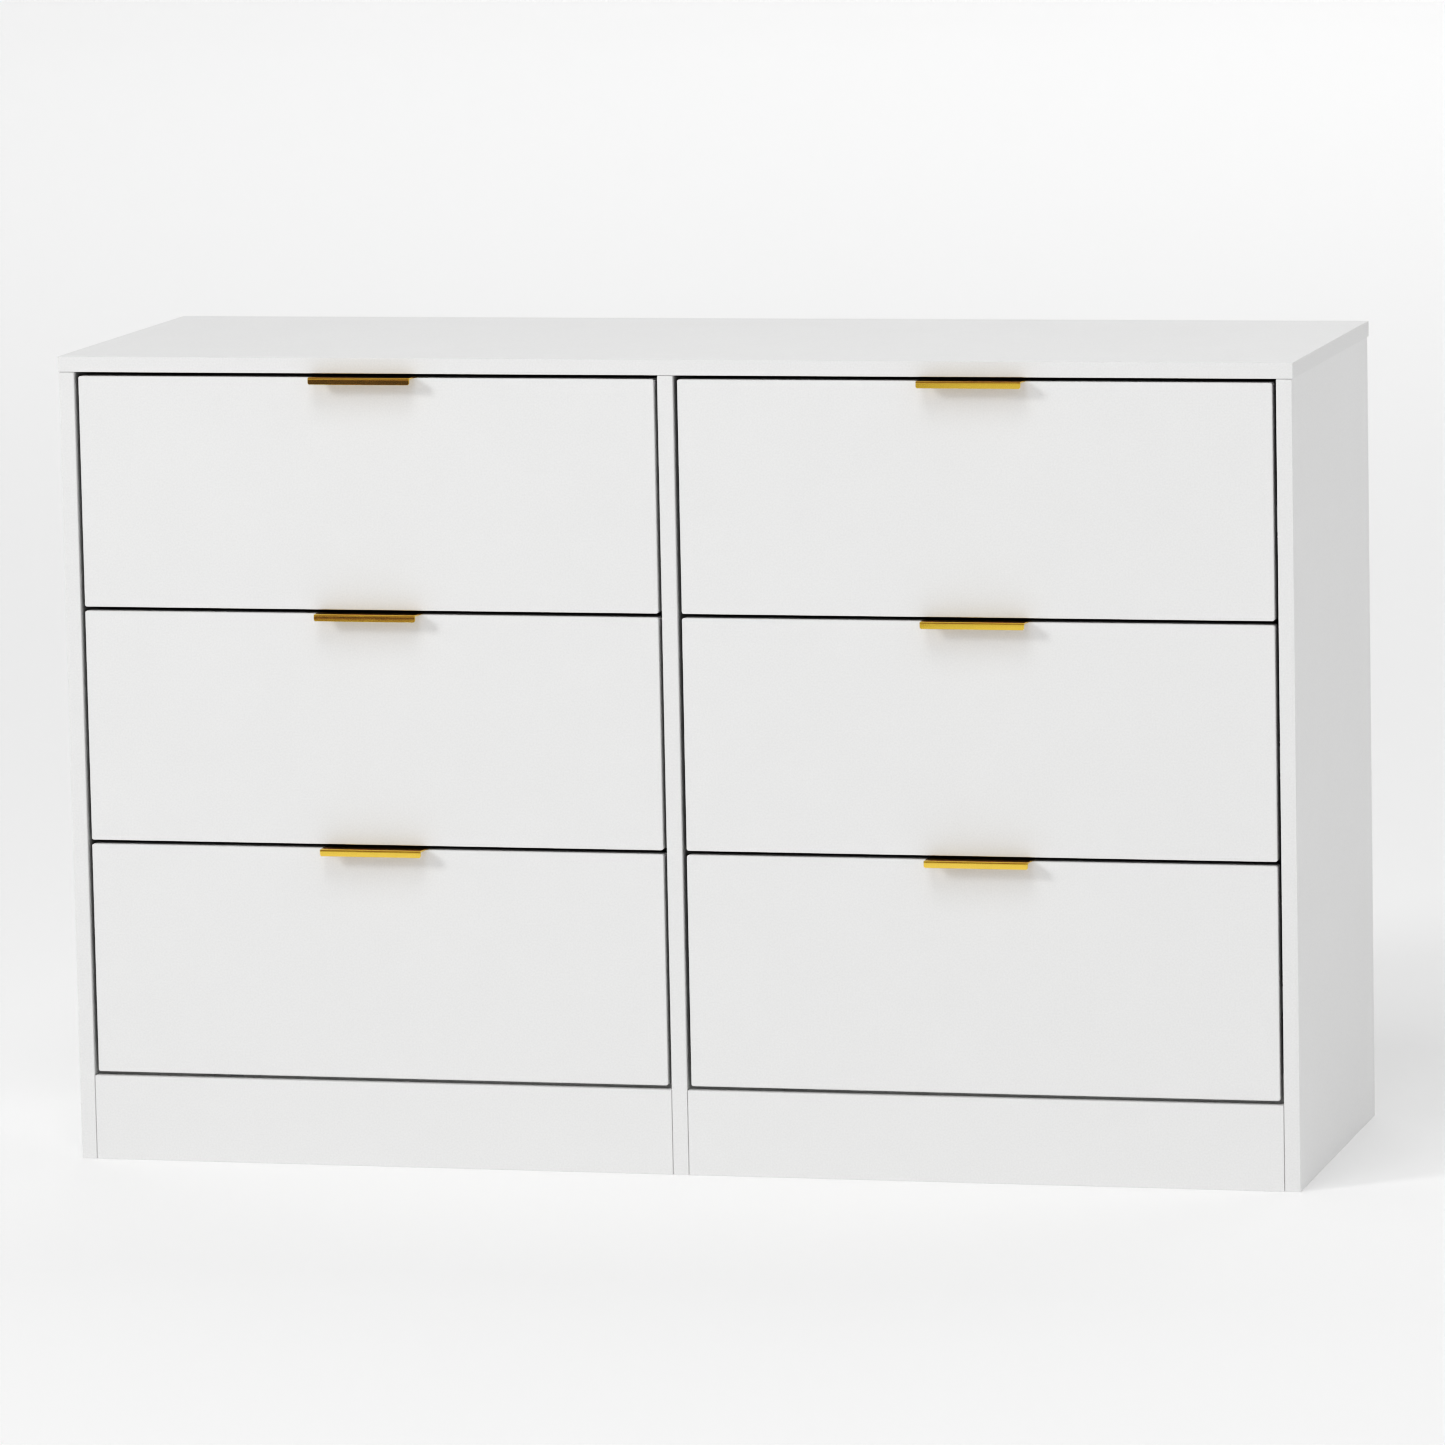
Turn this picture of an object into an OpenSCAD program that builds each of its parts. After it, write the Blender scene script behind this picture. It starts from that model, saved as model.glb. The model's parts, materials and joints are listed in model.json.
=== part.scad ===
// Dresser with two columns of three inset drawers. The carcass is flat-pack: boards joined
// with cams, bolts and dowels, two nailed back panels, and a plinth board under each column.
// The drawers run on telescopic ball-bearing runners of three members and open by edge pulls.
// +Z is up and the drawers open towards -Y. The origin is the middle of the footprint, on
// the floor, with the pulls left out.

/* [Cabinet] */
// Overall width, across the top panel
cabinet_w = 1200; // [1000:10:1600]
// Overall depth, from the carcass's front edges to its back
cabinet_d = 400; // [390:5:500]
// Overall height
cabinet_h = 780; // [720:5:900]
// Thickness of the carcass boards and of the drawer fronts
board = 15; // [15:0.5:18]
// Height of the plinth boards and of the rear rails
plinth_h = 82; // [78:1:110]
// Overhang of the top panel past each side panel
top_overhang = 1; // [0:0.5:5]
// Thickness of the back panels
back_t = 3; // [2.5:0.5:4]
// Joint line at each end of the plinth boards and rear rails
joint_line = 0.5; // [0.2:0.1:1]

/* [Drawers] */
// Gap around each drawer front
gap = 4; // [2.5:0.5:4]
// Distance from the carcass's front edges back to the drawer fronts
front_recess = 1.5; // [0:0.5:3]
// Radius of the drawer fronts' corners
front_corner = 2; // [1:0.5:4]
// Height of the drawer boxes
box_h = 160; // [140:5:170]
// Thickness of the drawer boxes' sides and backs
box_t = 12; // [12:0.5:15]
// Height of the box's lower edge above the front's lower edge
box_lift = 14; // [10:1:20]
// Thickness of the drawer bottoms
bottom_t = 3; // [2.5:0.5:4]

/* [Runners] */
// Length of the runners, which is also how far the drawers open
runner_l = 350; // [300:10:350]
// Height of the runners' cabinet member
runner_h = 35; // [35:1:45]
// Space for a runner at each side of a drawer box
runner_space = 13; // [13:0.1:14]

/* [Pulls] */
// Length of the edge pulls
pull_l = 100; // [90:5:200]
// Reach of the pulls in front of the drawer fronts
pull_reach = 18; // [12:1:25]
// Height of the pulls' turned-down lip
pull_lip = 6.5; // [5:0.5:12]
// Height of the flange behind the drawer front
pull_flange = 22; // [20:1:30]
// Thickness of the pulls' metal
pull_t = 1.5; // [1:0.25:1.75]
// Distance between the two screws of a pull
pull_pitch = 64; // [32:32:64]

/* [Hidden] */
$fn = 48;

COLUMNS = ["left", "right"];
ROWS = ["top", "middle", "bottom"];
CARCASS_PARTS = [
    "top_panel", "side_panel_left", "side_panel_right", "centre_divider",
    "plinth_left", "plinth_right", "rear_rails", "back_panels",
    "carcass_cams", "carcass_dowels", "cabinet_runners", "carcass_screws"
];
DRAWER_PARTS = [
    "front", "sides", "back", "bottom", "pull", "runners", "runner_middles", "fasteners"
];

LAMINATE = "#f1f1ef";
HARDBOARD = "#e9e8e4";
BEECH = "#d8b98a";
ZINC = "#b9bcc0";
GOLD = "#c99b3a";

// Carcass
carcass_w = cabinet_w - 2 * top_overhang;
carcass_h = cabinet_h - board;
panel_d = cabinet_d - back_t;
bay_w = (carcass_w - 3 * board) / 2;
front_y = -cabinet_d / 2;
rear_y = front_y + panel_d;
panel_x = (carcass_w - board) / 2;

// Drawers, in a frame whose origin is the middle of the front's lower edge, in the plane of
// the carcass's front edges
front_w = bay_w - 2 * gap;
front_h = (carcass_h - plinth_h - (len(ROWS) + 1) * gap) / len(ROWS);
front_back = front_recess + board;
box_w = bay_w - 2 * runner_space;
box_d = runner_l;
box_back = front_back + box_d;
inner_w = box_w - 2 * box_t;
groove = 6;
groove_play = 0.2;
bottom_z = box_lift + 10;
runner_z = box_lift + box_h / 2;

// Runners: metal thickness, and the heights of the two members nested in the cabinet member
runner_t = 1.2;
middle_h = runner_h - 8.6;
inner_h = runner_h - 15.4;
middle_l = runner_l - 10;
member_start = front_back + 1;
runner_screw_y = [34, 162, 290];

// Cams, bolts, dowels and screws
cam_d = 15;
cam_reach = 24;
cam_play = 0.2;
bolt_thread = [6, 11];
bolt_shank_d = 4.6;
bolt_head = [6.6, 3.4];
bolt_bore_d = 7.4;
dowel_d = 8;
dowel_in_face = 10;
dowel_in_edge = 20;
hole_play = 0.1;
top_cam_inset = 60;
top_dowel_inset = 110;
base_cam_share = [0.2, 0.4];
base_dowel_share = [0.6, 0.8];
box_joint_z = [box_lift + 30, box_lift + box_h - 30];
panel_nail = [1.6, 15, 4, 0.8];
nail_z = [100 : 160 : 740];
wood_screw = [3.5, 34, 7, 2];
drawer_screw = [3.5, 9, 6.5, 1.3];
cabinet_screw = [5, 7, 7.5, 1.2];
pull_screw = [3.5, 10, 7, 2.2];
pull_screw_drop = 12;

function bay_x(c) = (c == 0 ? -1 : 1) * (board + bay_w) / 2;
function drawer_origin(c, r) =
    [bay_x(c), front_y, plinth_h + gap + (len(ROWS) - 1 - r) * (front_h + gap)];

// ---- Shapes that repeat ----

// A rectangle with round corners, centred in X and standing on the X axis
module rounded_rect(w, h, r) {
    translate([-w / 2 + r, 0]) square([w - 2 * r, h]);
    translate([-w / 2, r]) square([w, h - 2 * r]);
    for (x = [-w / 2 + r, w / 2 - r], y = [r, h - r]) {
        translate([x, y]) circle(r);
    }
}

// Extrudes an X-Z outline along Y, from y0 to y1
module extrude_y(y0, y1) {
    translate([0, y1, 0]) rotate([90, 0, 0]) linear_extrude(y1 - y0) children();
}

// A C-shaped channel: its web on the Y axis, and its flanges and their lips towards +X
module channel(h, depth, lip) {
    translate([0, -h / 2]) square([runner_t, h]);
    for (s = [-1, 1]) {
        translate([0, (s * h - runner_t) / 2 - s * runner_t / 2]) square([depth, runner_t]);
        translate([depth - runner_t, s > 0 ? h / 2 - lip : -h / 2]) square([runner_t, lip]);
    }
}

// The cross in a screw's or cam's face, which is at z = 0
module cross_recess(size, depth) {
    for (a = [0, 90]) {
        rotate(a) translate([-size / 2, -size / 12, -depth]) cube([size, size / 6, depth + 1]);
    }
}

// A nail driven towards -Z: s is [diameter, length, head diameter, head height]. A sunk head
// is level with the face at z = 0, and any other stands on it.
module nail(s, sunk) {
    translate([0, 0, sunk ? -s[3] : 0]) {
        cylinder(d = s[2], h = s[3]);
        translate([0, 0, -s[1]]) cylinder(d = s[0], h = s[1]);
    }
}

// A screw of the same form, with a cross in its head
module screw(s, sunk) {
    difference() {
        nail(s, sunk);
        translate([0, 0, sunk ? 0 : s[3]]) cross_recess(s[2] * 0.6, s[3] * 0.6);
    }
}

// The hole for either, open from the face at z = 0 to past the tip
module fixing_hole(s, sunk) {
    translate([0, 0, -s[1] - (sunk ? s[3] : 0) - 0.3]) {
        cylinder(d = s[0] + hole_play, h = s[1] + (sunk ? s[3] : 0) + 0.3);
    }
    if (sunk) {
        translate([0, 0, -s[3] - 0.02]) cylinder(d = s[2] + hole_play, h = s[3] + 1);
    }
}

// A cam joint. The bolt is screwed into board A at z < 0, and runs along +Z in the middle of
// board B's thickness, where the cam drops into B's face at y = -t / 2 and holds its head.
module cam_joint(t, cam_h) {
    translate([0, 0, -bolt_thread[1]]) cylinder(d = bolt_thread[0], h = bolt_thread[1]);
    cylinder(d = bolt_shank_d, h = cam_reach);
    translate([0, 0, cam_reach - bolt_head[1] / 2]) cylinder(d = bolt_head[0], h = bolt_head[1]);
    translate([0, -t / 2, cam_reach]) rotate([90, 0, 0]) difference() {
        translate([0, 0, -cam_h]) cylinder(d = cam_d - 2 * cam_play, h = cam_h);
        translate([-bolt_bore_d / 2, -cam_d, -t / 2 - bolt_bore_d / 2]) {
            cube([bolt_bore_d, cam_d + bolt_bore_d / 2, bolt_bore_d]);
        }
        cross_recess(cam_d * 0.55, 1.6);
    }
}

module cam_joint_in_a() {
    translate([0, 0, -bolt_thread[1] - 0.5]) {
        cylinder(d = bolt_thread[0] + hole_play, h = bolt_thread[1] + 1.5);
    }
}

module cam_joint_in_b(t, cam_h) {
    translate([0, 0, -1]) cylinder(d = bolt_bore_d, h = cam_reach + 1);
    translate([0, -t / 2 + cam_h + 0.3, cam_reach]) rotate([90, 0, 0]) cylinder(d = cam_d, h = cam_h + 2);
}

// A dowel across the joint plane z = 0, and the hole that it sits in
module dowel() {
    translate([0, 0, -dowel_in_face]) cylinder(d = dowel_d, h = dowel_in_face + dowel_in_edge);
}

module dowel_hole() {
    translate([0, 0, -dowel_in_face - 0.5]) {
        cylinder(d = dowel_d + hole_play, h = dowel_in_face + dowel_in_edge + 1);
    }
}

// ---- Where the fixings go ----

// Joints of the top panel (A) with the upright boards (B)
module at_top_joints(inset) {
    for (x = [-panel_x, 0, panel_x], y = [front_y + inset, rear_y - inset]) {
        translate([x, y, carcass_h]) rotate([180, 0, x > 0 ? 90 : -90]) children();
    }
}

// Joints of the upright boards (A) with a bay's plinth board and rear rail (B)
module at_base_joints(c, share) {
    for (end = [-1, 1]) {
        translate([bay_x(c) + end * bay_w / 2, 0, plinth_h * share]) {
            translate([0, front_y + board / 2, 0]) rotate([180, end * 90, 0]) children();
            translate([0, rear_y - board / 2, 0]) rotate([0, -end * 90, 0]) children();
        }
    }
}

// Every joint between the upright boards and the boards at the base
module at_cam_base_joints() {
    for (c = [0, 1]) at_base_joints(c, base_cam_share[c]) children();
}

module at_dowel_base_joints() {
    for (c = [0, 1]) at_base_joints(c, base_dowel_share[c]) children();
}

// The two runners of a drawer, each in a frame with x = 0 on the bay's wall and +X towards
// the drawer
module at_runners() {
    translate([-bay_w / 2, 0, runner_z]) children();
    mirror([1, 0, 0]) translate([-bay_w / 2, 0, runner_z]) children();
}

// Screws through both runners' webs, driven away from the drawer or into it
module at_runner_screws(x, into_drawer) {
    at_runners() {
        for (y = runner_screw_y) {
            translate([x, front_back + y, 0]) rotate([0, into_drawer ? -90 : 90, 0]) children();
        }
    }
}

module at_cabinet_screws(x) {
    for (c = [0, 1], r = [0 : len(ROWS) - 1]) {
        translate(drawer_origin(c, r)) at_runner_screws(x, false) children();
    }
}

// Nails through the back panels into the upright boards and the rear rails
module at_nails() {
    for (s = [-1, 1]) {
        for (x = [panel_x, board / 4], z = nail_z) {
            translate([s * x, front_y + cabinet_d, z]) rotate([-90, 0, 0]) children();
        }
        for (x = [-200, 0, 200]) {
            translate([bay_x(s < 0 ? 0 : 1) + x, front_y + cabinet_d, plinth_h - board]) {
                rotate([-90, 0, 0]) children();
            }
        }
    }
}

// Cam joints of the drawer front (A) with the box's sides (B)
module at_box_joints() {
    for (s = [-1, 1], z = box_joint_z) {
        translate([s * (box_w - box_t) / 2, front_back, z]) rotate([-90, -s * 90, 0]) children();
    }
}

// Screws through the box's sides into the ends of its back
module at_back_screws() {
    for (s = [-1, 1], z = box_joint_z) {
        translate([s * box_w / 2, box_back - box_t / 2, z]) rotate([0, s * 90, 0]) children();
    }
}

module at_pull_screws(y) {
    for (x = [-pull_pitch / 2, pull_pitch / 2]) {
        translate([x, y, front_h - pull_screw_drop]) rotate([-90, 0, 0]) children();
    }
}

// ---- Carcass ----

module top_panel() {
    color(LAMINATE) difference() {
        translate([-cabinet_w / 2, front_y, carcass_h]) cube([cabinet_w, cabinet_d, board]);
        at_top_joints(top_cam_inset) cam_joint_in_a();
        at_top_joints(top_dowel_inset) dowel_hole();
    }
}

// A side panel or the divider, with its middle plane at x
module upright(x) {
    color(LAMINATE) difference() {
        translate([x - board / 2, front_y, 0]) cube([board, panel_d, carcass_h]);
        at_top_joints(top_cam_inset) cam_joint_in_b(board, board - 3);
        at_top_joints(top_dowel_inset) dowel_hole();
        at_cam_base_joints() cam_joint_in_a();
        at_dowel_base_joints() dowel_hole();
        at_cabinet_screws(runner_t) fixing_hole(cabinet_screw, false);
        at_nails() fixing_hole(panel_nail, true);
    }
}

// A board between two uprights of a bay, with its front face at y
module base_board(c, y) {
    color(LAMINATE) difference() {
        translate([bay_x(c) - bay_w / 2 + joint_line, y, 0]) {
            cube([bay_w - 2 * joint_line, board, plinth_h]);
        }
        at_base_joints(c, base_cam_share[c]) cam_joint_in_b(board, board - 3);
        at_base_joints(c, base_dowel_share[c]) dowel_hole();
        at_nails() fixing_hole(panel_nail, true);
    }
}

module rear_rails() {
    for (c = [0, 1]) base_board(c, rear_y - board);
}

// Two leaves that meet on the divider
module back_panels() {
    leaf_w = carcass_w / 2 - 2;
    leaf_z = plinth_h / 2;
    color(HARDBOARD) difference() {
        for (x = [-leaf_w - 0.5, 0.5]) {
            translate([x, rear_y, leaf_z]) cube([leaf_w, back_t, carcass_h - leaf_z - 0.3]);
        }
        at_nails() fixing_hole(panel_nail, true);
    }
}

module carcass_cams() {
    color(ZINC) {
        at_top_joints(top_cam_inset) cam_joint(board, board - 3);
        at_cam_base_joints() cam_joint(board, board - 3);
    }
}

module carcass_dowels() {
    color(BEECH) {
        at_top_joints(top_dowel_inset) dowel();
        at_dowel_base_joints() dowel();
    }
}

module cabinet_runners() {
    color(ZINC) difference() {
        for (c = [0, 1], r = [0 : len(ROWS) - 1]) {
            translate(drawer_origin(c, r)) at_runners() {
                extrude_y(member_start, member_start + runner_l) channel(runner_h, 10.5, 2.8);
            }
        }
        at_cabinet_screws(runner_t) fixing_hole(cabinet_screw, false);
    }
}

module carcass_screws() {
    color(ZINC) {
        at_cabinet_screws(runner_t) screw(cabinet_screw, false);
        at_nails() nail(panel_nail, true);
    }
}

// ---- Drawers ----

// The panel that slots into the front, the sides and the back. play is the room around it.
module bottom_slab(play) {
    w = inner_w + 2 * (groove - groove_play + play);
    translate([-w / 2, front_back - groove + groove_play - play, bottom_z - play]) {
        cube([w, box_d - box_t + 2 * (groove - groove_play + play), bottom_t + 2 * play]);
    }
}

module drawer_front() {
    color(LAMINATE) difference() {
        extrude_y(front_recess, front_back) rounded_rect(front_w, front_h, front_corner);
        at_box_joints() cam_joint_in_a();
        at_pull_screws(front_back) fixing_hole(pull_screw, false);
        bottom_slab(groove_play);
    }
}

module drawer_sides() {
    color(LAMINATE) difference() {
        for (x = [-box_w / 2, box_w / 2 - box_t]) {
            translate([x, front_back, box_lift]) cube([box_t, box_d, box_h]);
        }
        at_box_joints() cam_joint_in_b(box_t, box_t - 2.5);
        at_back_screws() fixing_hole(wood_screw, true);
        at_runner_screws(runner_space - runner_t, true) fixing_hole(drawer_screw, false);
        bottom_slab(groove_play);
    }
}

module drawer_back() {
    color(LAMINATE) difference() {
        translate([-inner_w / 2, box_back - box_t, box_lift]) cube([inner_w, box_t, box_h]);
        at_back_screws() fixing_hole(wood_screw, true);
        bottom_slab(groove_play);
    }
}

module drawer_bottom() {
    color(HARDBOARD) bottom_slab(0);
}

// The pull's cross-section, with x forwards from the front's rear face and y up from the
// front's top edge
module pull_section() {
    nose = board + pull_reach;
    translate([-pull_t, -pull_flange]) square([pull_t, pull_flange]);
    translate([nose - pull_t, pull_t - pull_lip]) square([pull_t, pull_lip - pull_t]);
    square([nose - pull_t, pull_t]);
    for (x = [0, nose - pull_t]) {
        intersection() {
            translate([x, 0]) circle(pull_t);
            translate([x - (x > 0 ? 0 : pull_t), 0]) square(pull_t);
        }
    }
}

// An edge pull: one profile that hooks over the front's top edge, with a lip at its nose
module drawer_pull() {
    lip_corner = 1.8;
    color(GOLD) difference() {
        translate([pull_l / 2, front_back, front_h]) {
            rotate([90, 0, -90]) linear_extrude(pull_l) pull_section();
        }
        at_pull_screws(front_back + pull_t) fixing_hole([pull_screw[0] + 0.5, pull_t, 0, 0], false);
        for (s = [-1, 1]) {
            translate([s * (pull_l / 2 - lip_corner), 0, front_h + pull_t - pull_lip + lip_corner]) {
                extrude_y(front_recess - pull_reach - 1, front_recess - pull_reach + pull_t + 1) {
                    difference() {
                        translate([s > 0 ? 0 : -lip_corner - 1, -lip_corner - 1]) {
                            square([lip_corner + 1, lip_corner + 1]);
                        }
                        circle(lip_corner);
                    }
                }
            }
        }
    }
}

// The members screwed to the drawer box
module drawer_runners() {
    color(ZINC) difference() {
        at_runners() translate([runner_space, 0, 0]) mirror([1, 0, 0]) {
            extrude_y(member_start, box_back - 1) channel(inner_h, 7.8, 2.6);
        }
        at_runner_screws(runner_space - runner_t, true) fixing_hole(drawer_screw, false);
    }
}

// The members between those of the cabinet and of the drawer
module drawer_runner_middles() {
    color(ZINC) at_runners() translate([3, 0, 0]) {
        extrude_y(member_start, member_start + middle_l) channel(middle_h, 7, 2.6);
    }
}

module drawer_fasteners() {
    color(ZINC) {
        at_box_joints() cam_joint(box_t, box_t - 2.5);
        at_back_screws() screw(wood_screw, true);
        at_runner_screws(runner_space - runner_t, true) screw(drawer_screw, false);
        at_pull_screws(front_back + pull_t) screw(pull_screw, false);
    }
}

// ---- Nodes ----

top_panel();
upright(-panel_x);  // side_panel_left
upright(panel_x);  // side_panel_right
upright(0);  // centre_divider
base_board(0, front_y);  // plinth_left
base_board(1, front_y);  // plinth_right
rear_rails();
back_panels();
carcass_cams();
carcass_dowels();
cabinet_runners();
carcass_screws();
for (c = [0, 1], r = [0 : len(ROWS) - 1]) {
    drawer = str("drawer_", COLUMNS[c], "_", ROWS[r], "_");
    translate(drawer_origin(c, r)) {
        drawer_front();
        drawer_sides();
        drawer_back();
        drawer_bottom();
        drawer_pull();
        drawer_runners();
        drawer_runner_middles();
        drawer_fasteners();
    }
}
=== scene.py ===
"""The looks of a white dresser: two columns of three inset drawers with gold edge pulls.

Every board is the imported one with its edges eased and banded. The pulls, the runners and the
balls between the runners' members are made here, at the places that the frame gives.
"""

import json
import math

import bmesh
import bpy
from mathutils import Matrix, Quaternion, Vector

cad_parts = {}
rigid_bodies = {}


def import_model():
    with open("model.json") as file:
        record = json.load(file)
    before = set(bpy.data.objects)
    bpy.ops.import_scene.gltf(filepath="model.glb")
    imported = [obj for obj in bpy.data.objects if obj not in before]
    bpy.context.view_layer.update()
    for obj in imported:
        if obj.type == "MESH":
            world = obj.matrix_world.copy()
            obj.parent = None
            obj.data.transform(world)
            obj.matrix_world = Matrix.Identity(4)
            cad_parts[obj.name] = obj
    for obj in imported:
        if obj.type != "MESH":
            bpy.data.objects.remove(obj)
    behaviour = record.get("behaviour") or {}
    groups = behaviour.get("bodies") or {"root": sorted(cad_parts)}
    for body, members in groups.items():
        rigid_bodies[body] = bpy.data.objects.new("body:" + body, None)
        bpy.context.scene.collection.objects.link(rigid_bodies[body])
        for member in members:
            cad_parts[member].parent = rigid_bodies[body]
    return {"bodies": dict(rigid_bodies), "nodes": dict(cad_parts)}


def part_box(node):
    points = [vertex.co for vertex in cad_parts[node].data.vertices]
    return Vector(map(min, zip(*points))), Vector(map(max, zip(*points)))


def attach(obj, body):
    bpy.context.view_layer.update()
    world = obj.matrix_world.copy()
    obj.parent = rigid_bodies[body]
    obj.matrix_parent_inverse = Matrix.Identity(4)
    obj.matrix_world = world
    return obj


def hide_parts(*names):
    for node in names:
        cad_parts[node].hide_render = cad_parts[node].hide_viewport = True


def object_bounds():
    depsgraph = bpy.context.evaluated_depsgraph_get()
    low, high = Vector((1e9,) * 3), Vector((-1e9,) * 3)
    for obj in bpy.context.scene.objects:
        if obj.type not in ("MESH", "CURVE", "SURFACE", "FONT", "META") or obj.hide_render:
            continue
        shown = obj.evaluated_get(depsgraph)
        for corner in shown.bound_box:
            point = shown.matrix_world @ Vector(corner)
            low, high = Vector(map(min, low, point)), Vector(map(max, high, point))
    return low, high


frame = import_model()
cad_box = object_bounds()

MM = 0.001
X, Y, Z = 0, 1, 2
CARCASS = "carcass"
DRAWERS = [name for name in frame["bodies"] if name.startswith("drawer_") and "middles" not in name]

# How far the edges of boards are eased, and those of the thin back panels
EASE = 0.5 * MM
THIN_EASE = 0.3 * MM

# A sharp edge this near to a board's outline is the board's own. One further in is a hole's.
OUTLINE_REACH = 2.5 * MM

# Points this near to each other are the same point
TOUCH = 0.01 * MM

# Degrees between two faces. Up to FLAT_ANGLE they are one flat face. From SHARP_ANGLE a board's
# edge is a sharp one, and from CRISP_ANGLE a pull's is. Shading stays crisp over CRISP_ANGLE, or
# over BENT_CRISP_ANGLE on bent metal.
FLAT_ANGLE = 0.5
SHARP_ANGLE = 60
CRISP_ANGLE = 50
BENT_CRISP_ANGLE = 40

# The cosine of the angle within which a face is one of a board's two broad ones
SQUARE_ON = 0.99

# The fine line over each upright: how far its upper end falls at the front, and how deep it goes
TRIM = 0.5 * MM
TRIM_DEPTH = 5 * MM


# ---- Materials ----

# Most of a noise texture's values lie between these two
NOISE_LOW = 0.3
NOISE_HIGH = 0.7


class Shader:
    """A material's nodes, built from its principled shader backwards."""

    def __init__(self, name, roughness, metallic=0.0):
        self.material = bpy.data.materials.new(name)
        self.material.use_nodes = True
        self.tree = self.material.node_tree
        self.surface = self.tree.nodes["Principled BSDF"]
        self.surface.inputs["Roughness"].default_value = roughness
        self.surface.inputs["Metallic"].default_value = metallic
        self.place = self.tree.nodes.new("ShaderNodeTexCoord").outputs["Object"]

    def link(self, output, node, socket):
        self.tree.links.new(output, node.inputs[socket])

    def noise(self, size, stretch=(1, 1, 1), detail=3.0, roughness=0.5):
        """Noise whose features are about size metres across, times stretch along each axis."""
        mapping = self.tree.nodes.new("ShaderNodeMapping")
        mapping.inputs["Scale"].default_value = [1 / s for s in stretch]
        texture = self.tree.nodes.new("ShaderNodeTexNoise")
        texture.inputs["Scale"].default_value = 1 / size
        texture.inputs["Detail"].default_value = detail
        texture.inputs["Roughness"].default_value = roughness
        self.link(self.place, mapping, "Vector")
        self.link(mapping.outputs["Vector"], texture, "Vector")
        return texture.outputs["Fac"]

    def shades(self, value, dark, light, low=NOISE_LOW, high=NOISE_HIGH):
        """A colour that goes from dark to light as value, which is noise, goes from low to high."""
        node = self.tree.nodes.new("ShaderNodeValToRGB")
        for element, position, colour in zip(node.color_ramp.elements, (low, high), (dark, light)):
            element.position = position
            element.color = (*colour, 1.0)
        self.link(value, node, "Fac")
        return node.outputs["Color"]

    def spread(self, value, low, high):
        """Noise whose usual values are spread over low to high."""
        node = self.tree.nodes.new("ShaderNodeMapRange")
        node.inputs["From Min"].default_value = NOISE_LOW
        node.inputs["From Max"].default_value = NOISE_HIGH
        node.inputs["To Min"].default_value = low
        node.inputs["To Max"].default_value = high
        self.link(value, node, "Value")
        return node.outputs["Result"]

    def mix(self, first, second, share):
        """The colour first, with that share of the colour second."""
        node = self.tree.nodes.new("ShaderNodeMix")
        node.data_type = "RGBA"
        node.inputs["Factor"].default_value = share
        self.link(first, node, "A")
        self.link(second, node, "B")
        return node.outputs["Result"]

    def colour(self, output):
        self.link(output, self.surface, "Base Color")

    def rough(self, output):
        self.link(output, self.surface, "Roughness")

    def bump(self, height, depth, strength):
        node = self.tree.nodes.new("ShaderNodeBump")
        node.inputs["Strength"].default_value = strength
        node.inputs["Distance"].default_value = depth
        self.link(height, node, "Height")
        self.link(node.outputs["Normal"], self.surface, "Normal")


def tint(colour, share):
    """The colour, darkened to that share of its brightness."""
    return tuple(c * share for c in colour)


def laminate(name, colour, roughness=0.42, sheen=0.5):
    """Satin melamine: a fine pebbled surface, with a faint mottle in its white."""
    shader = Shader(name, roughness)
    shader.surface.inputs["Specular IOR Level"].default_value = sheen
    fine = shader.noise(1.6 * MM, detail=2.0)
    broad = shader.noise(60 * MM, detail=4.0)
    pebbles = shader.noise(1.3 * MM, detail=2.0)
    speckle = shader.shades(fine, tint(colour, 0.905), colour)
    mottle = shader.shades(broad, tint(colour, 0.985), colour)
    shader.colour(shader.mix(speckle, mottle, share=0.4))
    shader.rough(shader.spread(broad, roughness - 0.04, roughness + 0.04))
    shader.bump(pebbles, depth=0.03 * MM, strength=0.6)
    return shader.material


def hardboard(name, colour):
    """Painted hardboard: matt, with the fibres showing through the paint."""
    shader = Shader(name, 0.7)
    fibres = shader.noise(2.5 * MM, stretch=(3, 1, 1), detail=5.0, roughness=0.65)
    patches = shader.noise(90 * MM, detail=3.0)
    fibre_shades = shader.shades(fibres, tint(colour, 0.94), colour)
    patch_shades = shader.shades(patches, tint(colour, 0.97), colour)
    shader.colour(shader.mix(fibre_shades, patch_shades, share=0.5))
    shader.rough(shader.spread(fibres, 0.62, 0.8))
    shader.bump(fibres, depth=0.06 * MM, strength=0.5)
    return shader.material


def anodised(name, colour, dark, roughness=0.13):
    """Satin anodised aluminium, with fine drawing lines along its length and slight clouds."""
    shader = Shader(name, roughness, metallic=1.0)
    lines = shader.noise(0.25 * MM, stretch=(120, 1, 1), detail=2.0)
    clouds = shader.noise(12 * MM, detail=3.0)
    line_shades = shader.shades(lines, dark, colour)
    cloud_shades = shader.shades(clouds, tint(colour, 0.93), colour)
    shader.colour(shader.mix(line_shades, cloud_shades, share=0.5))
    shader.rough(shader.spread(lines, roughness - 0.03, roughness + 0.03))
    shader.bump(lines, depth=0.006 * MM, strength=0.4)
    return shader.material


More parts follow.
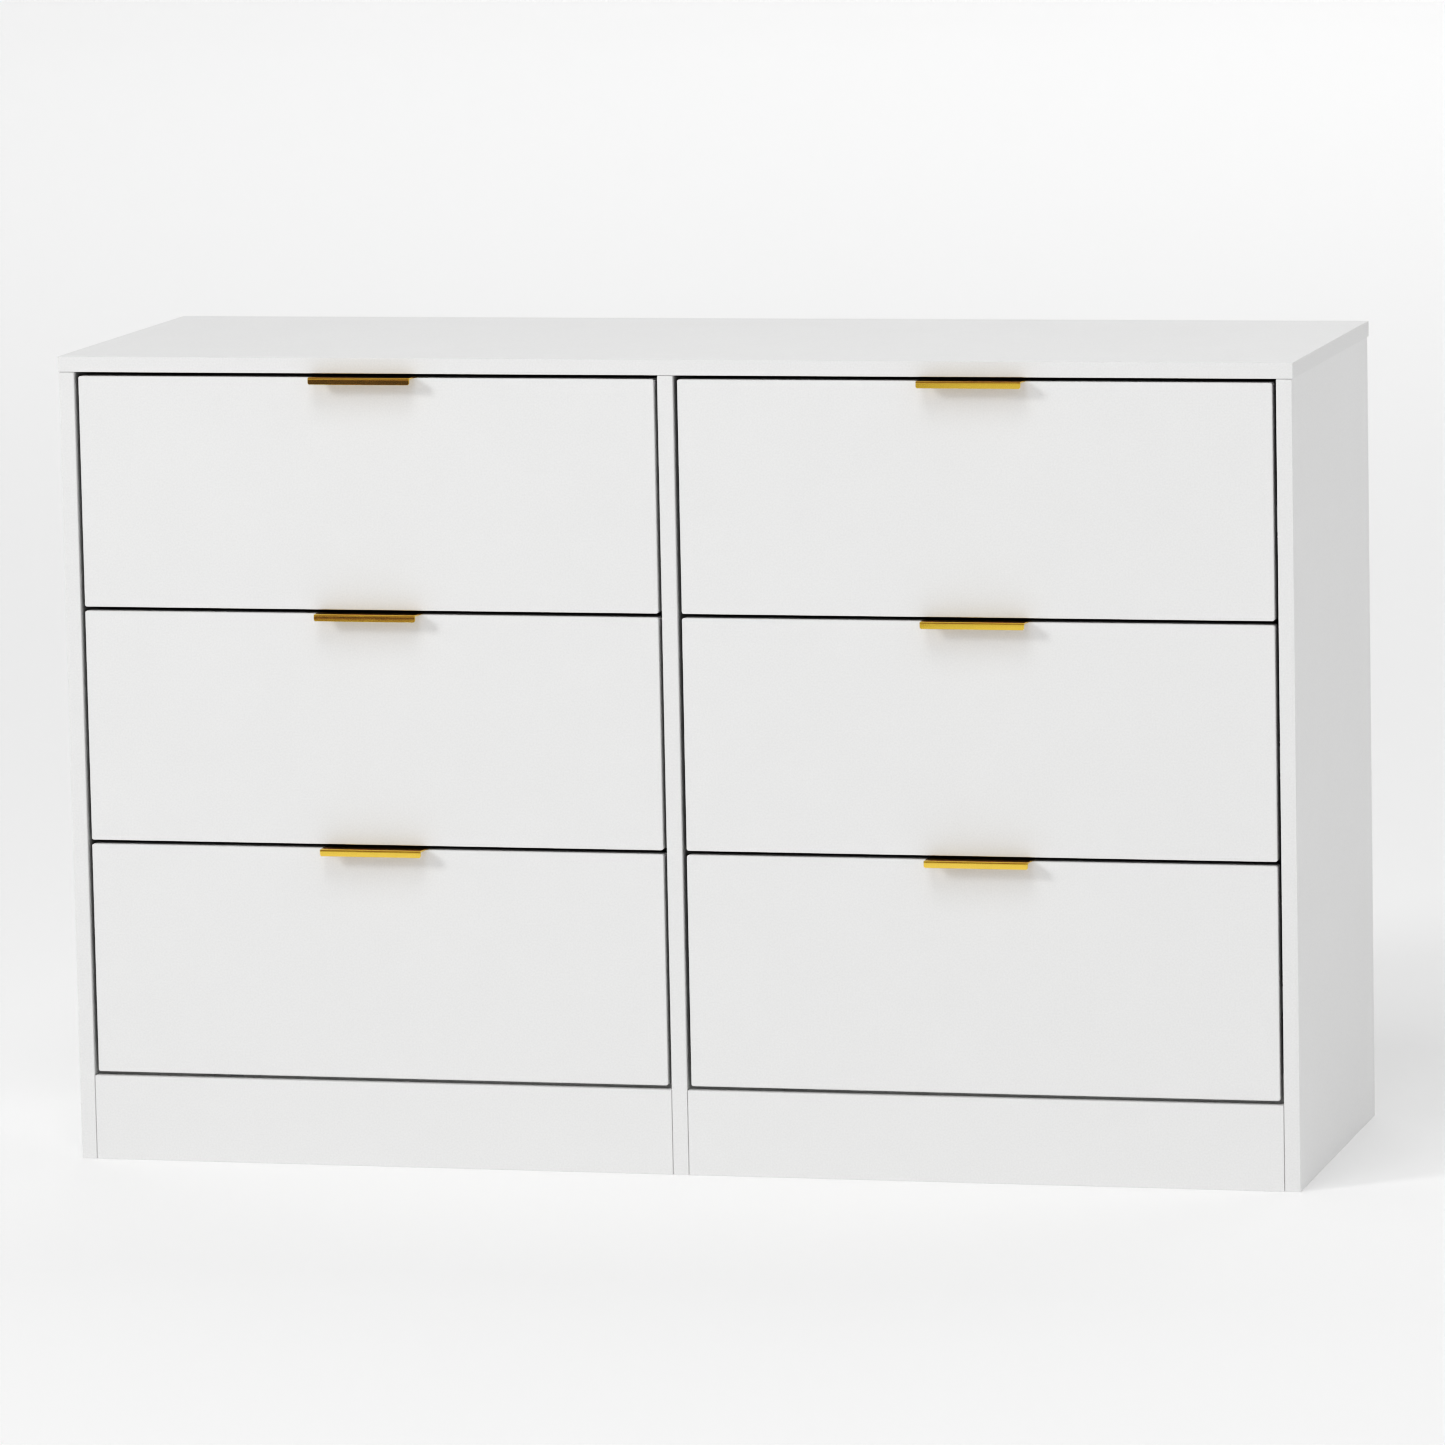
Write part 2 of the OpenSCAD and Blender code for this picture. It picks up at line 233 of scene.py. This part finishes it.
def zinc_plate(name, colour, roughness=0.34):
    """Zinc-plated steel strip: rolling lines along the runner, with cloudy plating."""
    shader = Shader(name, roughness, metallic=1.0)
    lines = shader.noise(0.6 * MM, stretch=(1, 90, 1), detail=2.0)
    clouds = shader.noise(9 * MM, detail=4.0, roughness=0.6)
    line_shades = shader.shades(lines, tint(colour, 0.88), colour)
    cloud_shades = shader.shades(clouds, tint(colour, 0.84), colour)
    shader.colour(shader.mix(line_shades, cloud_shades, share=0.5))
    shader.rough(shader.spread(clouds, roughness - 0.08, roughness + 0.1))
    shader.bump(lines, depth=0.01 * MM, strength=0.3)
    return shader.material


def beech_wood(name, light, dark):
    """Turned beech, with short darker flecks along the grain."""
    shader = Shader(name, 0.6)
    grain = shader.noise(1.2 * MM, stretch=(6, 6, 1), detail=4.0)
    shader.colour(shader.shades(grain, dark, light, low=0.35, high=0.65))
    shader.bump(grain, depth=0.03 * MM, strength=0.4)
    return shader.material


def plain(name, colour, glow=0.0):
    """A matt, even colour for the studio, with a glow of its own where glow is above 0."""
    shader = Shader(name, 0.8)
    shader.surface.inputs["Base Color"].default_value = (*colour, 1.0)
    shader.surface.inputs["Emission Color"].default_value = (1, 1, 1, 1)
    shader.surface.inputs["Emission Strength"].default_value = glow
    return shader.material


WHITE = (0.838, 0.838, 0.834)
LAMINATE = laminate("white_laminate", WHITE)
EDGE_BAND = laminate("white_edge_band", tint(WHITE, 0.99), roughness=0.5, sheen=0.1)
HARDBOARD = hardboard("white_hardboard", (0.76, 0.76, 0.745))
GOLD = anodised("gold_anodised", (0.93, 0.65, 0.2), (0.85, 0.57, 0.16))
ZINC = zinc_plate("zinc_plate", (0.66, 0.67, 0.69))
STEEL = zinc_plate("bright_steel", (0.72, 0.72, 0.72), roughness=0.18)
BEECH = beech_wood("beech", (0.62, 0.42, 0.24), (0.48, 0.3, 0.15))
FLOOR = plain("pale_floor", (0.85, 0.85, 0.85), glow=0.17)
DARK_CARD = plain("dark_card", (0.19, 0.19, 0.19))


# ---- Mesh helpers ----

def new_object(name, data):
    """Puts a mesh, light or camera into the scene, under that name."""
    made = bpy.data.objects.new(name, data)
    bpy.context.scene.collection.objects.link(made)
    return made


def mesh_object(name, bm, materials):
    """Turns bm into an object of the scene."""
    mesh = bpy.data.meshes.new(name)
    bm.to_mesh(mesh)
    bm.free()
    for material in materials:
        mesh.materials.append(material)
    return new_object(name, mesh)


def add_piece(name, bm, body, materials, replaces=()):
    """Turns bm into a piece that rides on body, and stands for the CAD nodes in replaces."""
    piece = mesh_object(name, bm, materials)
    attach(piece, body)
    if replaces:
        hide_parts(*replaces)
    return piece


def shade_by_angle(piece, degrees=CRISP_ANGLE):
    """Smooth shading that keeps flat faces flat, and edges of more than those degrees crisp."""
    piece.data.shade_smooth()
    piece.data.set_sharp_from_angle(angle=math.radians(degrees))
    weighted = piece.modifiers.new("flat_faces", "WEIGHTED_NORMAL")
    weighted.keep_sharp = True


def welded(node):
    """A copy of a CAD node's mesh, in which each corner is a single point."""
    bm = bmesh.new()
    bm.from_mesh(frame["nodes"][node].data)
    bmesh.ops.remove_doubles(bm, verts=bm.verts, dist=TOUCH)
    return bm


def islands(bm):
    """The separate solids of bm, as sets of vertices."""
    waiting = set(bm.verts)
    while waiting:
        found, reached = set(), [next(iter(waiting))]
        while reached:
            vert = reached.pop()
            if vert in found:
                continue
            found.add(vert)
            reached += [e.other_vert(vert) for e in vert.link_edges]
        waiting -= found
        yield found


def box_of(verts):
    """The lowest and highest corner of the box round some vertices."""
    return [Vector(pick(v.co[axis] for v in verts) for axis in (X, Y, Z)) for pick in (min, max)]


def shared_sides(edge, low, high, axes, reach):
    """The sides (axis, end) of the box from low to high that both ends of edge are near."""
    return {
        (axis, end)
        for axis in axes
        for end, corner in ((0, low), (1, high))
        if all(abs(vert.co[axis] - corner[axis]) <= reach for vert in edge.verts)
    }


def outline_edges(solid, thin):
    """The sharp edges round a board's two faces and at its corners, but not those of its holes."""
    low, high = box_of(solid)
    wide = [axis for axis in (X, Y, Z) if axis != thin]
    for edge in {e for vert in solid for e in vert.link_edges}:
        if len(edge.link_faces) != 2 or edge.calc_face_angle(0.0) < math.radians(SHARP_ANGLE):
            continue
        on_face = shared_sides(edge, low, high, [thin], TOUCH)
        on_rim = shared_sides(edge, low, high, wide, OUTLINE_REACH if on_face else TOUCH)
        if (on_face and on_rim) or len(on_rim) == 2:
            yield edge


def trim_front(bm):
    """Lets the front of a board's upper end fall away a little, as the trimmed end of its edge
    band does, so that the joint above it shows as a fine line."""
    cut = min(v.co[Y] for v in bm.verts) + TRIM_DEPTH
    upper_end = max(v.co[Z] for v in bm.verts) - 2 * EASE
    everything = [*bm.verts, *bm.edges, *bm.faces]
    bmesh.ops.bisect_plane(bm, geom=everything, plane_co=(0, cut, 0), plane_no=(0, 1, 0))
    for vert in bm.verts:
        if vert.co[Y] < cut and vert.co[Z] > upper_end:
            vert.co[Z] -= TRIM * (cut - vert.co[Y]) / TRIM_DEPTH


def board(
    node, body, thin, upright=False,
    ease=EASE, faces=LAMINATE, edges=EDGE_BAND,
):
    """A CAD board, welded and with its edges eased. thin is the axis of its thickness."""
    bm = welded(node)
    bmesh.ops.dissolve_limit(
        bm, angle_limit=math.radians(FLAT_ANGLE), verts=bm.verts, edges=bm.edges
    )
    rim = [edge for solid in islands(bm) for edge in outline_edges(solid, thin)]
    bmesh.ops.bevel(
        bm, geom=rim, offset=ease, offset_type="OFFSET", segments=3, profile=0.5,
        affect="EDGES", clamp_overlap=True,
    )
    if upright:
        trim_front(bm)
    for face in bm.faces:
        face.material_index = 0 if abs(face.normal[thin]) > SQUARE_ON else 1
    shade_by_angle(add_piece(node + "_board", bm, body, [faces, edges], [node]))


def dress(node, material):
    """Gives a CAD node that stays its material."""
    materials = frame["nodes"][node].data.materials
    materials.clear()
    materials.append(material)


def skin(bm, rings):
    """Adds a closed bar through rings of four vertices each."""
    for ring, after in zip(rings, rings[1:]):
        for i in range(4):
            bm.faces.new((ring[i], ring[(i + 1) % 4], after[(i + 1) % 4], after[i]))
    bm.faces.new(rings[0][::-1])
    bm.faces.new(rings[-1])


def arc(centre, radius, start, end, steps=6):
    """Points on an arc in a plane, from the start angle to the end angle in degrees."""
    angles = [math.radians(start + (end - start) * i / steps) for i in range(steps + 1)]
    return [(centre[0] + radius * math.cos(a), centre[1] + radius * math.sin(a)) for a in angles]


# ---- Carcass ----

BOARD_THICKNESS_AXES = {
    "top_panel": Z,
    "side_panel_left": X,
    "side_panel_right": X,
    "centre_divider": X,
    "plinth_left": Y,
    "plinth_right": Y,
    "rear_rails": Y,
}
for node, thin in BOARD_THICKNESS_AXES.items():
    board(node, CARCASS, thin, upright=thin == X)
board(
    "back_panels", CARCASS, Y,
    ease=THIN_EASE, faces=HARDBOARD, edges=HARDBOARD,
)
dress("carcass_cams", ZINC)
dress("carcass_screws", ZINC)
dress("carcass_dowels", BEECH)


# ---- Drawers ----

def drawer_box(drawer):
    """The boards of one drawer, with their fixings."""
    board(drawer + "_front", drawer, Y)
    board(drawer + "_sides", drawer, X)
    board(drawer + "_back", drawer, Y)
    dress(drawer + "_bottom", HARDBOARD)
    dress(drawer + "_fasteners", ZINC)


# ---- Pulls ----

# The bent strip: its metal, the outer radius of its bends, how far its edges are eased, and the
# radii of the round corners of its lip and of the flange behind the drawer's front
PULL_METAL = 1.5 * MM
PULL_BEND = 1.9 * MM
PULL_EASE = 0.25 * MM
LIP_CORNER = 1.8 * MM
FLANGE_CORNER = 3 * MM

# The angles at which a round corner has its points
QUARTER_TURN = [math.radians(degrees) for degrees in range(0, 91, 15)]


def corner_rows(y, foot, inward, half_width, radius, angles):
    """Rows of a strip's straight end, whose two corners are round. Each row is an outer point,
    the point behind it on the metal's other face, and half the strip's width there."""
    for angle in angles:
        z = foot + radius * (1 - math.cos(angle))
        width = half_width - radius * (1 - math.sin(angle))
        yield (y, z), (y + inward * PULL_METAL, z), width


def bend_rows(y, z, half_width, start):
    """Rows of a quarter bend about (y, z), from the start angle in degrees."""
    inner = arc((y, z), PULL_BEND - PULL_METAL, start, start + 90)
    return [(o, i, half_width) for o, i in zip(arc((y, z), PULL_BEND, start, start + 90), inner)]


def strip_mesh(rows, middle_x):
    """The closed solid of a bent strip, centred on middle_x, from its rows."""
    bm = bmesh.new()
    rings = [
        [
            bm.verts.new((middle_x + side * width, *point))
            for point, side in ((outer, -1), (outer, 1), (inner, 1), (inner, -1))
        ]
        for outer, inner, width in rows
    ]
    skin(bm, rings)
    bmesh.ops.recalc_face_normals(bm, faces=bm.faces)
    return bm


def pull(drawer):
    """An edge pull: a strip bent over the front's top edge, with a turned-down lip."""
    node = drawer + "_pull"
    low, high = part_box(node)
    nose = [v.co[Z] for v in frame["nodes"][node].data.vertices if v.co[Y] < low[Y] + TOUCH]
    half_width = (high[X] - low[X]) / 2
    bend_z = high[Z] - PULL_BEND
    rows = [
        *corner_rows(high[Y], low[Z], -1, half_width, FLANGE_CORNER, QUARTER_TURN),
        *bend_rows(high[Y] - PULL_BEND, bend_z, half_width, 0),
        *bend_rows(low[Y] + PULL_BEND, bend_z, half_width, 90),
        *corner_rows(low[Y], min(nose), 1, half_width, LIP_CORNER, QUARTER_TURN[::-1]),
    ]
    strip = strip_mesh(rows, (low[X] + high[X]) / 2)
    piece = add_piece(node + "_metal", strip, drawer, [GOLD], [node])
    ease = piece.modifiers.new("eased_edges", "BEVEL")
    ease.width = PULL_EASE
    ease.segments = 2
    ease.limit_method = "ANGLE"
    ease.angle_limit = math.radians(CRISP_ANGLE)
    shade_by_angle(piece, BENT_CRISP_ANGLE)


# ---- Runners ----

# The rolled members: their metal, how far their lips turn back, and the radii of their bends,
# outside at the web and in the middle of the metal at the lips
RUNNER_METAL = 1.2 * MM
RUNNER_LIP = 2.7 * MM
WEB_RADIUS = 2.2 * MM
LIP_RADIUS = 1.0 * MM

# The ball races: a row of balls, with a little play all round, in the holes of a flat cage. The
# cage's rim is beside its holes, and its play is beside the rim.
BALL_PLAY = 0.1 * MM
BALL_PITCH = 13 * MM
BALLS = 10
CAGE_METAL = 0.4 * MM
CAGE_RIM = 0.5 * MM
CAGE_PLAY = 0.3 * MM
CAGE_HOLE_SIDES = 16


def member_line(depth, height):
    """The middle line of a member's rolled section, from lip to lip round the web, as points
    (distance from the web's back, height above the middle)."""
    t = RUNNER_METAL / 2
    half = height / 2
    web, lips = WEB_RADIUS - t, LIP_RADIUS
    upper = [(depth - t, half - RUNNER_LIP)]
    upper += arc((depth - t - lips, half - t - lips), lips, 0, 90)
    upper += arc((t + web, half - t - web), web, 90, 180)
    return upper + [(u, -v) for u, v in reversed(upper)]


def add_member(bm, low, high, web_end):
    """Adds a rolled member that fills the box from low to high, with its web at that X end."""
    depth, height = high[X] - low[X], high[Z] - low[Z]
    middle_z = (low[Z] + high[Z]) / 2
    line = [Vector(p) for p in member_line(depth, height)]
    rings = []
    for i, point in enumerate(line):
        along = line[min(i + 1, len(line) - 1)] - line[max(i - 1, 0)]
        across = Vector((-along.y, along.x)).normalized() * RUNNER_METAL / 2
        corners = []
        for y in (low[Y], high[Y]):
            for face in (point + across, point - across):
                x = low[X] + face.x if web_end < 0 else high[X] - face.x
                corners.append(bm.verts.new((x, y, middle_z + face.y)))
        near_out, near_in, far_out, far_in = corners
        rings.append((near_out, near_in, far_in, far_out))
    skin(bm, rings)


def solid_boxes(node):
    """The lowest and highest corner of each solid of a CAD node."""
    bm = welded(node)
    boxes = [box_of(solid) for solid in islands(bm)]
    bm.free()
    return sorted(boxes, key=lambda box: tuple(box[0]))


def bay_side(low, high):
    """-1 for a runner at the left of its bay, and 1 for one at the right."""
    column = "left" if low[X] + high[X] < 0 else "right"
    bay_low, bay_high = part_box(f"drawer_{column}_top_front")
    return -1 if low[X] + high[X] < bay_low[X] + bay_high[X] else 1


def members(node, body, web_to_wall):
    """Rolled members in place of a node's plain channels. Each has its web towards the wall of
    its bay where web_to_wall is True, and towards the drawer where it is False."""
    bm = bmesh.new()
    for low, high in solid_boxes(node):
        side = bay_side(low, high)
        add_member(bm, low, high, side if web_to_wall else -side)
    bmesh.ops.recalc_face_normals(bm, faces=bm.faces)
    piece = add_piece(node + "_rolled", bm, body, [ZINC], [node])
    shade_by_angle(piece, BENT_CRISP_ANGLE)


def add_cage(bm, x, z, start_y, hole, half_width):
    """Adds the flat strip that spaces a row of balls. Each ball's stretch of it is drawn as rays,
    from the rim of the ball's round hole to the stretch's outline."""
    corner = math.atan2(BALL_PITCH / 2, half_width)
    angles = [math.tau * (i + 0.5) / CAGE_HOLE_SIDES for i in range(CAGE_HOLE_SIDES)]
    angles += [corner, math.pi - corner, math.pi + corner, math.tau - corner]
    for i in range(BALLS):
        y = start_y + (i + 0.5) * BALL_PITCH
        rays = []
        for angle in sorted(angles):
            across, along = math.cos(angle), math.sin(angle)
            reach = min(half_width / abs(across), BALL_PITCH / 2 / abs(along))
            rays.append([bm.verts.new((x + r * across, y + r * along, z)) for r in (hole, reach)])
        for (inner, outer), (next_inner, next_outer) in zip(rays, rays[1:] + rays[:1]):
            bm.faces.new((inner, outer, next_outer, next_inner))


def races(drawer):
    """The ball races of a drawer's two runners, as (X, Z, first Y, ball radius). A race lies
    between a flange of one member and that of the member inside it, just behind the outer
    one's lip. The outer races are at the rear of the middle members and the inner races at
    their front, where the members still overlap when the drawer is open."""
    cabinet_boxes = solid_boxes("cabinet_runners")
    inner_boxes = solid_boxes(drawer + "_runners")
    for middle, inner in zip(solid_boxes(drawer + "_runner_middles"), inner_boxes):
        low, high = middle
        side = bay_side(low, high)
        cabinet = next(
            box for box in cabinet_boxes
            if all(box[0][axis] < low[axis] and high[axis] < box[1][axis] for axis in (X, Z))
        )
        for outside, inside, start_y in (
            (cabinet, middle, high[Y] - BALLS * BALL_PITCH),
            (middle, inner, low[Y]),
        ):
            far = (outside[1][Z] - outside[0][Z]) / 2 - RUNNER_METAL
            near = (inside[1][Z] - inside[0][Z]) / 2
            radius = (far - near) / 2 - BALL_PLAY
            lip = outside[0][X] + RUNNER_METAL if side > 0 else outside[1][X] - RUNNER_METAL
            x = lip + side * (CAGE_PLAY + CAGE_RIM + BALL_PLAY + radius)
            for end in (-1, 1):
                yield x, (low[Z] + high[Z]) / 2 + end * (far + near) / 2, start_y, radius


def balls(drawer):
    """The balls of one drawer's runners, and the perforated steel strips that space them."""
    body = drawer + "_middles"
    ball_mesh, cage_mesh = bmesh.new(), bmesh.new()
    for x, z, start_y, radius in races(drawer):
        for i in range(BALLS):
            place = Matrix.Translation((x, start_y + (i + 0.5) * BALL_PITCH, z))
            bmesh.ops.create_icosphere(ball_mesh, subdivisions=2, radius=radius, matrix=place)
        hole = radius + BALL_PLAY
        add_cage(cage_mesh, x, z + CAGE_METAL / 2, start_y, hole, hole + CAGE_RIM)
    bmesh.ops.remove_doubles(cage_mesh, verts=cage_mesh.verts, dist=TOUCH)
    bmesh.ops.solidify(cage_mesh, geom=cage_mesh.faces, thickness=CAGE_METAL)
    bmesh.ops.recalc_face_normals(cage_mesh, faces=cage_mesh.faces)
    add_piece(drawer + "_balls", ball_mesh, body, [STEEL]).data.shade_smooth()
    shade_by_angle(add_piece(drawer + "_ball_cages", cage_mesh, body, [ZINC]))


members("cabinet_runners", CARCASS, web_to_wall=True)
for drawer in DRAWERS:
    drawer_box(drawer)
    pull(drawer)
    members(drawer + "_runners", drawer, web_to_wall=False)
    members(drawer + "_runner_middles", drawer + "_middles", web_to_wall=True)
    balls(drawer)


# ---- Stage ----

OBJECT_MIDDLE = (cad_box[0] + cad_box[1]) / 2

# The round floor, and the wall that it curves up into
FLOOR_RADIUS = 16.0
COVE_RADIUS = 6.0
COVE_STEPS = 16
WALL_HEIGHT = 12.0
ROUND_STEPS = 96

# The dark card that the pulls mirror
CARD_MIDDLE = Vector((-1.37, -3.3, 0.525))
CARD_WIDTH = 1.76
CARD_HEIGHT = 0.91

# The light over the floor behind the object, and the point of the floor that it faces
BACKGROUND_LIGHT = Vector((0, 13, 9))
BACKGROUND_FLOOR = Vector((0, 13, 0))

# Points on the tone curve, as (light in the scene, light shown). White and light grey stay as
# they are. Darker shades are deepened, and the darkest ones the most.
DEEP_SHADOWS = ((0.06, 0.017), (0.14, 0.055), (0.3, 0.26), (0.4, 0.39), (0.5, 0.5), (0.75, 0.75))


def direction(azimuth, elevation):
    """The unit vector from the object towards that side. Azimuth 0 is the front, 90 the right."""
    a, e = math.radians(azimuth), math.radians(elevation)
    return Vector((math.sin(a) * math.cos(e), -math.cos(a) * math.cos(e), math.sin(e)))


def from_object(azimuth, elevation, distance):
    """The place that far from the object's middle, in that direction."""
    return OBJECT_MIDDLE + direction(azimuth, elevation) * distance


def stage_piece(name, bm, material):
    """Turns bm into a piece of the studio, which isn't part of the dresser."""
    piece = mesh_object(name, bm, [material])
    piece.data.shade_smooth()
    return piece


def studio_floor():
    """A round floor that curves up into a wall all round it, with no line between the two."""
    bm = bmesh.new()
    profile = [(0, 0)]
    profile += arc((FLOOR_RADIUS, COVE_RADIUS), COVE_RADIUS, -90, 0, steps=COVE_STEPS)
    profile.append((FLOOR_RADIUS + COVE_RADIUS, WALL_HEIGHT))
    verts = [bm.verts.new((r, 0, z)) for r, z in profile]
    edges = [bm.edges.new(pair) for pair in zip(verts, verts[1:])]
    bmesh.ops.spin(
        bm, geom=verts + edges, cent=(0, 0, 0), axis=(0, 0, 1), angle=math.tau,
        steps=ROUND_STEPS, use_merge=True,
    )
    bmesh.ops.remove_doubles(bm, verts=bm.verts, dist=TOUCH)
    bmesh.ops.recalc_face_normals(bm, faces=bm.faces)
    stage_piece("floor", bm, FLOOR)


def card():
    """An upright dark card, parallel to the drawer fronts, that only shiny surfaces see."""
    bm = bmesh.new()
    bmesh.ops.create_grid(bm, x_segments=1, y_segments=1, size=0.5)
    size = Matrix.Diagonal((CARD_WIDTH, CARD_HEIGHT, 1, 1))
    upright = Matrix.Rotation(math.radians(90), 4, "X")
    place = Matrix.Translation(CARD_MIDDLE) @ upright @ size
    bmesh.ops.transform(bm, matrix=place, verts=bm.verts)
    piece = stage_piece("dark_card", bm, DARK_CARD)
    piece.visible_camera = False
    piece.visible_diffuse = False
    piece.visible_shadow = False


def softbox(name, place, size, power, aim=OBJECT_MIDDLE, depth=None, glossy=True):
    """A soft area light that no camera sees, size wide and as deep, unless depth says otherwise.
    It faces its aim, and shiny surfaces mirror it only where glossy is True."""
    lamp = bpy.data.lights.new(name, "AREA")
    lamp.shape = "RECTANGLE"
    lamp.size = size
    lamp.size_y = depth or size
    lamp.energy = power
    light = new_object(name, lamp)
    light.location = place
    light.rotation_mode = "QUATERNION"
    light.rotation_quaternion = (light.location - aim).to_track_quat("Z", "Y")
    light.visible_camera = False
    light.visible_glossy = glossy


def sky(strength):
    """An even white light from all round."""
    world = bpy.data.worlds.new("studio")
    world.use_nodes = True
    background = world.node_tree.nodes["Background"]
    background.inputs["Color"].default_value = (1, 1, 1, 1)
    background.inputs["Strength"].default_value = strength
    bpy.context.scene.world = world


def deepen_shadows():
    """Shows the scene's light as it is, apart from dark shades, which a tone curve deepens."""
    view = bpy.context.scene.view_settings
    view.view_transform = "Standard"
    view.use_curve_mapping = True
    curve = view.curve_mapping.curves[-1]
    for light, shown in DEEP_SHADOWS:
        curve.points.new(light, shown)
    view.curve_mapping.update()


studio_floor()
card()
sky(strength=0.29)
softbox("key_from_left", from_object(-46, 25, 14), size=2.8, power=620)
softbox("overhead_front", from_object(-2, 57, 5), size=2.0, power=58, glossy=False)
softbox("fill_from_right", from_object(80, 40, 5), size=2.5, power=24, glossy=False)
softbox("background", BACKGROUND_LIGHT, size=14.0, power=680, aim=BACKGROUND_FLOOR, depth=16.0)
deepen_shadows()


# ---- Camera ----

# Angles in degrees, the lens and its sensor in millimetres, and the rest in metres
CAMERA_AZIMUTH = 14.3
CAMERA_ELEVATION = 8.0
CAMERA_DISTANCE = 8.76
CAMERA_ROLL = 1.15
CAMERA_LENS = 225.6
CAMERA_SENSOR = 36
CAMERA_REACH = 100
AIM = Vector((-0.0015, 0, 0.407))


def camera():
    """The camera, at its distance from its aim, in its direction, and slightly rolled."""
    data = bpy.data.cameras.new("camera")
    data.lens = CAMERA_LENS
    data.sensor_width = CAMERA_SENSOR
    data.clip_end = CAMERA_REACH
    made = new_object("camera", data)
    towards = direction(CAMERA_AZIMUTH, CAMERA_ELEVATION)
    made.location = AIM + towards * CAMERA_DISTANCE
    made.rotation_mode = "QUATERNION"
    roll = Quaternion((0, 0, 1), -math.radians(CAMERA_ROLL))
    made.rotation_quaternion = towards.to_track_quat("Z", "Y") @ roll
    bpy.context.scene.camera = made


camera()
